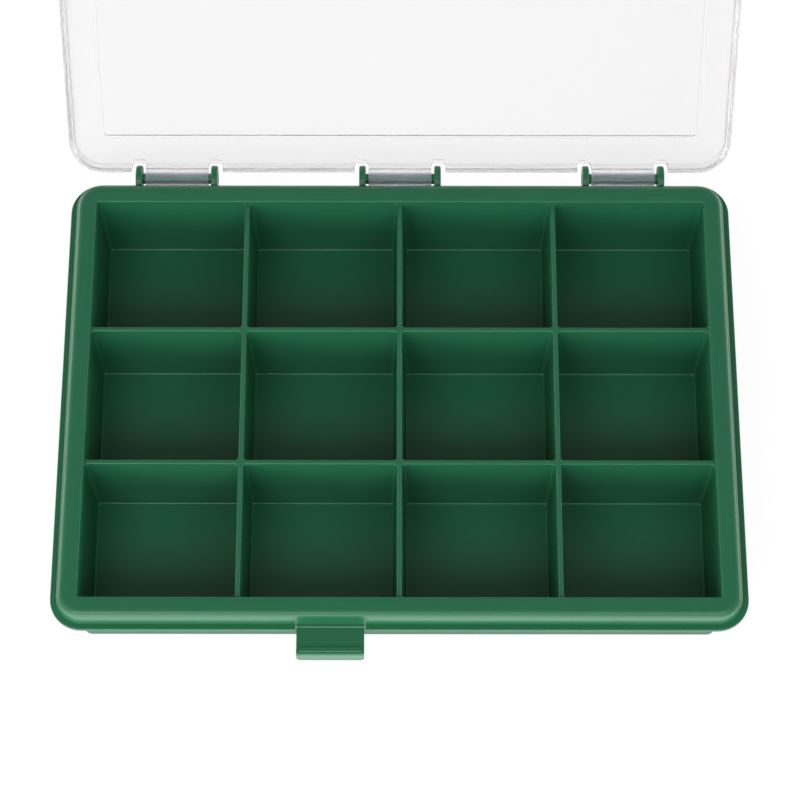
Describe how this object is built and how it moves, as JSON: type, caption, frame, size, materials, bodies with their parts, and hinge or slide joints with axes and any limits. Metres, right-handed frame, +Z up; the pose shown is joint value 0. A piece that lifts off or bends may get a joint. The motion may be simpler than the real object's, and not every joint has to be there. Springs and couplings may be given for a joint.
{
  "type": "compartment storage box",
  "caption": "Shallow plastic tray of equal square compartments with a clear hinged lid, pinned hinges at the back and a fold-up latch tab at the front.",
  "frame": {"origin": "centre of the tray's flat underside", "axes": "+Z up from the surface the tray stands on, +Y towards the hinges, +X to the right seen from the latch side"},
  "size_m": [0.25, 0.2992, 0.1804],
  "materials": {
    "green_plastic": "glossy moulded polypropylene, dark green",
    "clear_plastic": "clear moulded plastic, slightly milky"
  },
  "bodies": {
    "tray": {"base_tray": "green_plastic", "hinge_pin_left": "green_plastic", "hinge_pin_centre": "green_plastic", "hinge_pin_right": "green_plastic", "latch_film_hinge": "green_plastic"},
    "lid": {"lid": "clear_plastic"},
    "latch": {"front_latch": "green_plastic"}
  },
  "joints": [
    {"name": "lid_hinge", "type": "hinge", "parent": "tray", "child": "lid", "pos_m": [0, 0.09153, 0.0328], "axis": [1, 0, 0], "range_deg": [0, 125]},
    {"name": "latch_hinge", "type": "hinge", "parent": "tray", "child": "latch", "pos_m": [-0.0244, -0.08795, 0.03288], "axis": [-1, 0, 0], "range_deg": [0, 90], "deforming": ["latch_film_hinge"]}
  ]
}
